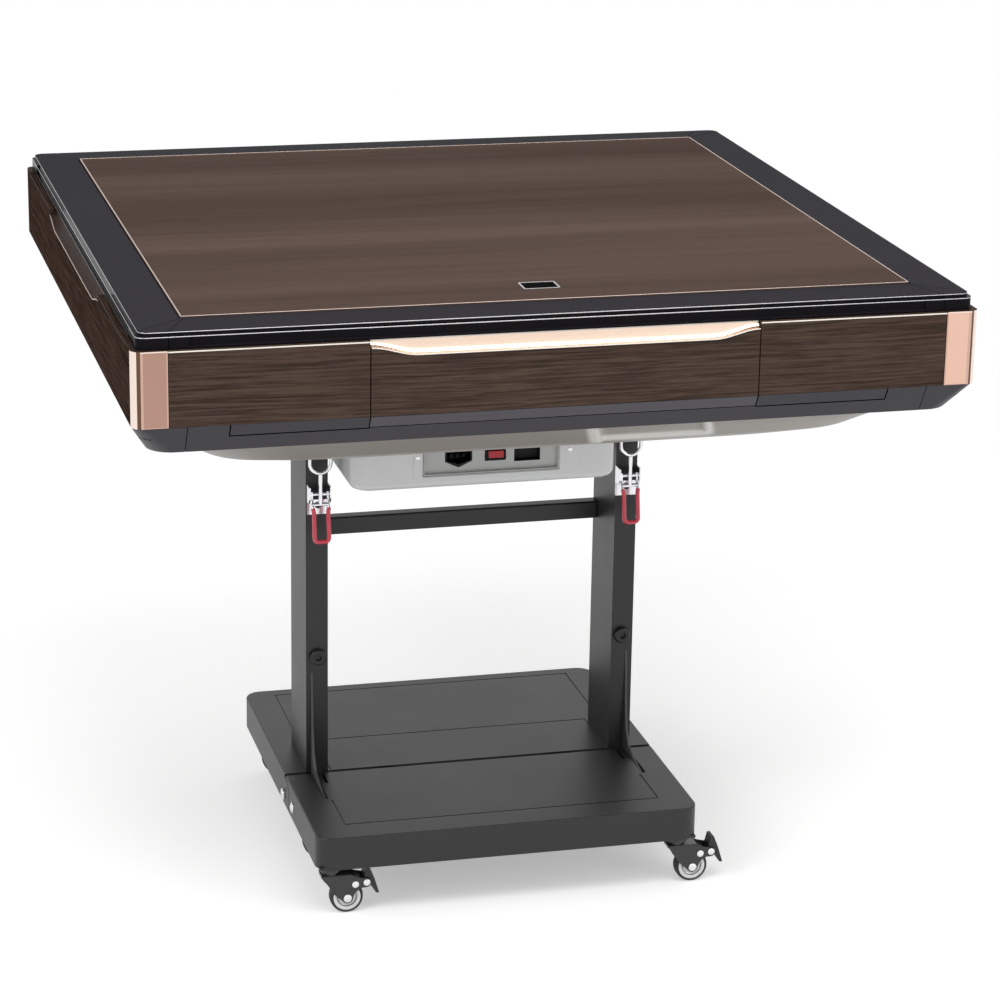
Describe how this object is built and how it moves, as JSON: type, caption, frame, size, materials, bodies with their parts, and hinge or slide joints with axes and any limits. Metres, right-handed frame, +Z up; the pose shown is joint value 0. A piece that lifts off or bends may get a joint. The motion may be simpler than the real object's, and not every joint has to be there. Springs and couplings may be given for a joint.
{
  "type": "automatic mahjong table",
  "caption": "Square automatic mahjong table with lift-off wooden cover, side drawers, dished housing and a wheeled folding two-leg stand",
  "frame": {"origin": "on the floor, straight below the centre of the square top", "axes": "+Z up, front of the table (latches, switch panel) towards -Y, +X to the right seen from the front"},
  "size_m": [0.9964, 0.9964, 0.8247],
  "materials": {
    "stand_paint": "satin powder coat",
    "brace_steel": "satin powder coat",
    "black_bolt": "black oxide",
    "bright_bolt": "zinc plated",
    "latch_chrome": "polished",
    "latch_red": "gloss enamel",
    "bracket_paint": "satin powder coat",
    "caster_paint": "satin black",
    "caster_tyre": "matt moulded rubber",
    "pedal_plastic": "matt moulded",
    "rim_gloss": "gloss",
    "apron_wood": "dark grained veneer under clear lacquer",
    "copper_trim": "satin copper anodised",
    "skirt_plastic": "satin",
    "belly_plastic": "satin moulded",
    "chassis_paint": "satin powder coat",
    "board_felt": "napped felt on board",
    "drum_plastic": "satin moulded",
    "console_gloss": "gloss",
    "box_paint": "satin powder coat",
    "socket_plate": "satin powder coat",
    "inlet_plastic": "matt moulded",
    "rocker_red": "gloss moulded",
    "cover_laminate": "smoked grained laminate, satin",
    "pull_chrome": "polished",
    "handle_metal": "satin rose anodised",
    "drawer_plastic": "satin moulded"
  },
  "bodies": {
    "stand": {"rear_tray": "stand_paint", "leg_left": "stand_paint", "leg_right": "stand_paint", "cross_rail": "stand_paint", "leg_braces": "brace_steel", "leg_bolts": "black_bolt", "base_bolts": "bright_bolt", "latch_bases": "latch_chrome", "tilt_pins": "bright_bolt", "fold_hinge_pins": "bright_bolt"},
    "folding_tray": {"front_tray": "stand_paint"},
    "machine": {"chassis_frame": "chassis_paint", "belly_pan": "belly_plastic", "rim_rails": "rim_gloss", "rim_corners": "rim_gloss", "apron_panels": "apron_wood", "corner_posts": "copper_trim", "skirt_rails": "skirt_plastic", "skirt_corners": "skirt_plastic", "control_box": "box_paint", "socket_panel": "socket_plate", "power_inlet": "inlet_plastic", "latch_catches": "latch_chrome", "playing_board": "board_felt", "tilt_brackets": "bracket_paint"},
    "rocker": {"power_rocker": "rocker_red"},
    "cover": {"cover_panel": "cover_laminate", "finger_pull": "pull_chrome"},
    "console": {"centre_console": "console_gloss"},
    "drum": {"shuffle_drum": "drum_plastic"},
    "fork_front_left": {"caster_fork_front_left": "caster_paint"},
    "wheel_front_left": {"caster_wheel_front_left": "caster_tyre"},
    "pedal_front_left": {"brake_pedal_front_left": "pedal_plastic"},
    "fork_front_right": {"caster_fork_front_right": "caster_paint"},
    "wheel_front_right": {"caster_wheel_front_right": "caster_tyre"},
    "pedal_front_right": {"brake_pedal_front_right": "pedal_plastic"},
    "fork_middle_left": {"caster_fork_middle_left": "caster_paint"},
    "wheel_middle_left": {"caster_wheel_middle_left": "caster_tyre"},
    "fork_middle_right": {"caster_fork_middle_right": "caster_paint"},
    "wheel_middle_right": {"caster_wheel_middle_right": "caster_tyre"},
    "fork_rear_left": {"caster_fork_rear_left": "caster_paint"},
    "wheel_rear_left": {"caster_wheel_rear_left": "caster_tyre"},
    "fork_rear_right": {"caster_fork_rear_right": "caster_paint"},
    "wheel_rear_right": {"caster_wheel_rear_right": "caster_tyre"},
    "lever_left": {"latch_lever_left": "latch_red"},
    "bail_left": {"latch_bail_left": "latch_chrome"},
    "lever_right": {"latch_lever_right": "latch_red"},
    "bail_right": {"latch_bail_right": "latch_chrome"},
    "drawer_front": {"drawer_front_front": "apron_wood", "drawer_handle_front": "handle_metal", "drawer_tray_front": "drawer_plastic"},
    "drawer_left": {"drawer_front_left": "apron_wood", "drawer_handle_left": "handle_metal", "drawer_tray_left": "drawer_plastic"},
    "drawer_back": {"drawer_front_back": "apron_wood", "drawer_handle_back": "handle_metal", "drawer_tray_back": "drawer_plastic"},
    "drawer_right": {"drawer_front_right": "apron_wood", "drawer_handle_right": "handle_metal", "drawer_tray_right": "drawer_plastic"}
  },
  "joints": [
    {"name": "tray_fold", "type": "hinge", "parent": "stand", "child": "folding_tray", "pos_m": [0, -0.0685, 0.105], "axis": [-1, 0, 0], "range_deg": [0, 80]},
    {"name": "machine_tilt", "type": "hinge", "parent": "stand", "child": "machine", "pos_m": [0, 0.028, 0.586], "axis": [-1, 0, 0], "range_deg": [0, 90]},
    {"name": "swivel_front_left", "type": "hinge", "parent": "folding_tray", "child": "fork_front_left", "pos_m": [-0.2255, -0.254, 0.06], "axis": [0, 0, 1], "continuous": true},
    {"name": "roll_front_left", "type": "hinge", "parent": "fork_front_left", "child": "wheel_front_left", "pos_m": [-0.2055, -0.254, 0.021], "axis": [0, 1, 0], "continuous": true},
    {"name": "brake_front_left", "type": "hinge", "parent": "fork_front_left", "child": "pedal_front_left", "pos_m": [-0.181, -0.254, 0.04], "axis": [0, 1, 0], "range_deg": [0, 25]},
    {"name": "swivel_front_right", "type": "hinge", "parent": "folding_tray", "child": "fork_front_right", "pos_m": [0.2255, -0.254, 0.06], "axis": [0, 0, 1], "continuous": true},
    {"name": "roll_front_right", "type": "hinge", "parent": "fork_front_right", "child": "wheel_front_right", "pos_m": [0.2455, -0.254, 0.021], "axis": [0, 1, 0], "continuous": true},
    {"name": "brake_front_right", "type": "hinge", "parent": "fork_front_right", "child": "pedal_front_right", "pos_m": [0.27, -0.254, 0.04], "axis": [0, 1, 0], "range_deg": [0, 25]},
    {"name": "swivel_middle_left", "type": "hinge", "parent": "stand", "child": "fork_middle_left", "pos_m": [-0.2255, -0.08, 0.06], "axis": [0, 0, 1], "continuous": true},
    {"name": "roll_middle_left", "type": "hinge", "parent": "fork_middle_left", "child": "wheel_middle_left", "pos_m": [-0.2055, -0.08, 0.021], "axis": [0, 1, 0], "continuous": true},
    {"name": "swivel_middle_right", "type": "hinge", "parent": "stand", "child": "fork_middle_right", "pos_m": [0.2255, -0.08, 0.06], "axis": [0, 0, 1], "continuous": true},
    {"name": "roll_middle_right", "type": "hinge", "parent": "fork_middle_right", "child": "wheel_middle_right", "pos_m": [0.2455, -0.08, 0.021], "axis": [0, 1, 0], "continuous": true},
    {"name": "swivel_rear_left", "type": "hinge", "parent": "stand", "child": "fork_rear_left", "pos_m": [-0.2255, 0.212, 0.06], "axis": [0, 0, 1], "continuous": true},
    {"name": "roll_rear_left", "type": "hinge", "parent": "fork_rear_left", "child": "wheel_rear_left", "pos_m": [-0.2055, 0.212, 0.021], "axis": [0, 1, 0], "continuous": true},
    {"name": "swivel_rear_right", "type": "hinge", "parent": "stand", "child": "fork_rear_right", "pos_m": [0.2255, 0.212, 0.06], "axis": [0, 0, 1], "continuous": true},
    {"name": "roll_rear_right", "type": "hinge", "parent": "fork_rear_right", "child": "wheel_rear_right", "pos_m": [0.2455, 0.212, 0.021], "axis": [0, 1, 0], "continuous": true},
    {"name": "latch_left", "type": "hinge", "parent": "stand", "child": "lever_left", "pos_m": [-0.203, -0.076, 0.492], "axis": [-1, 0, 0], "range_deg": [0, 120]},
    {"name": "bail_swing_left", "type": "hinge", "parent": "lever_left", "child": "bail_left", "pos_m": [-0.203, -0.0815, 0.48], "axis": [-1, 0, 0], "range_deg": [-120, 0]},
    {"name": "latch_right", "type": "hinge", "parent": "stand", "child": "lever_right", "pos_m": [0.203, -0.076, 0.492], "axis": [-1, 0, 0], "range_deg": [0, 120]},
    {"name": "bail_swing_right", "type": "hinge", "parent": "lever_right", "child": "bail_right", "pos_m": [0.203, -0.0815, 0.48], "axis": [-1, 0, 0], "range_deg": [-120, 0]},
    {"name": "cover_lift", "type": "slide", "parent": "machine", "child": "cover", "axis": [0, 0, 1], "range_m": [0, 0.12]},
    {"name": "console_lift", "type": "slide", "parent": "machine", "child": "console", "axis": [0, 0, 1], "range_m": [0, 0.028]},
    {"name": "drum_spin", "type": "hinge", "parent": "machine", "child": "drum", "pos_m": [0, 0, 0.72], "axis": [0, 0, 1], "continuous": true},
    {"name": "power_switch", "type": "hinge", "parent": "machine", "child": "rocker", "pos_m": [0.012, -0.122, 0.5455], "axis": [1, 0, 0], "range_deg": [0, 16]},
    {"name": "drawer_slide_front", "type": "slide", "parent": "machine", "child": "drawer_front", "axis": [0, -1, 0], "range_m": [0, 0.15]},
    {"name": "drawer_slide_left", "type": "slide", "parent": "machine", "child": "drawer_left", "axis": [-1, 0, 0], "range_m": [0, 0.15]},
    {"name": "drawer_slide_back", "type": "slide", "parent": "machine", "child": "drawer_back", "axis": [0, -1, 0], "range_m": [-0.15, 0]},
    {"name": "drawer_slide_right", "type": "slide", "parent": "machine", "child": "drawer_right", "axis": [1, 0, 0], "range_m": [0, 0.15]}
  ],
  "couplings": [
    {"joint": "bail_swing_left", "follows": "latch_left", "ratio": -1},
    {"joint": "bail_swing_right", "follows": "latch_right", "ratio": -1}
  ]
}
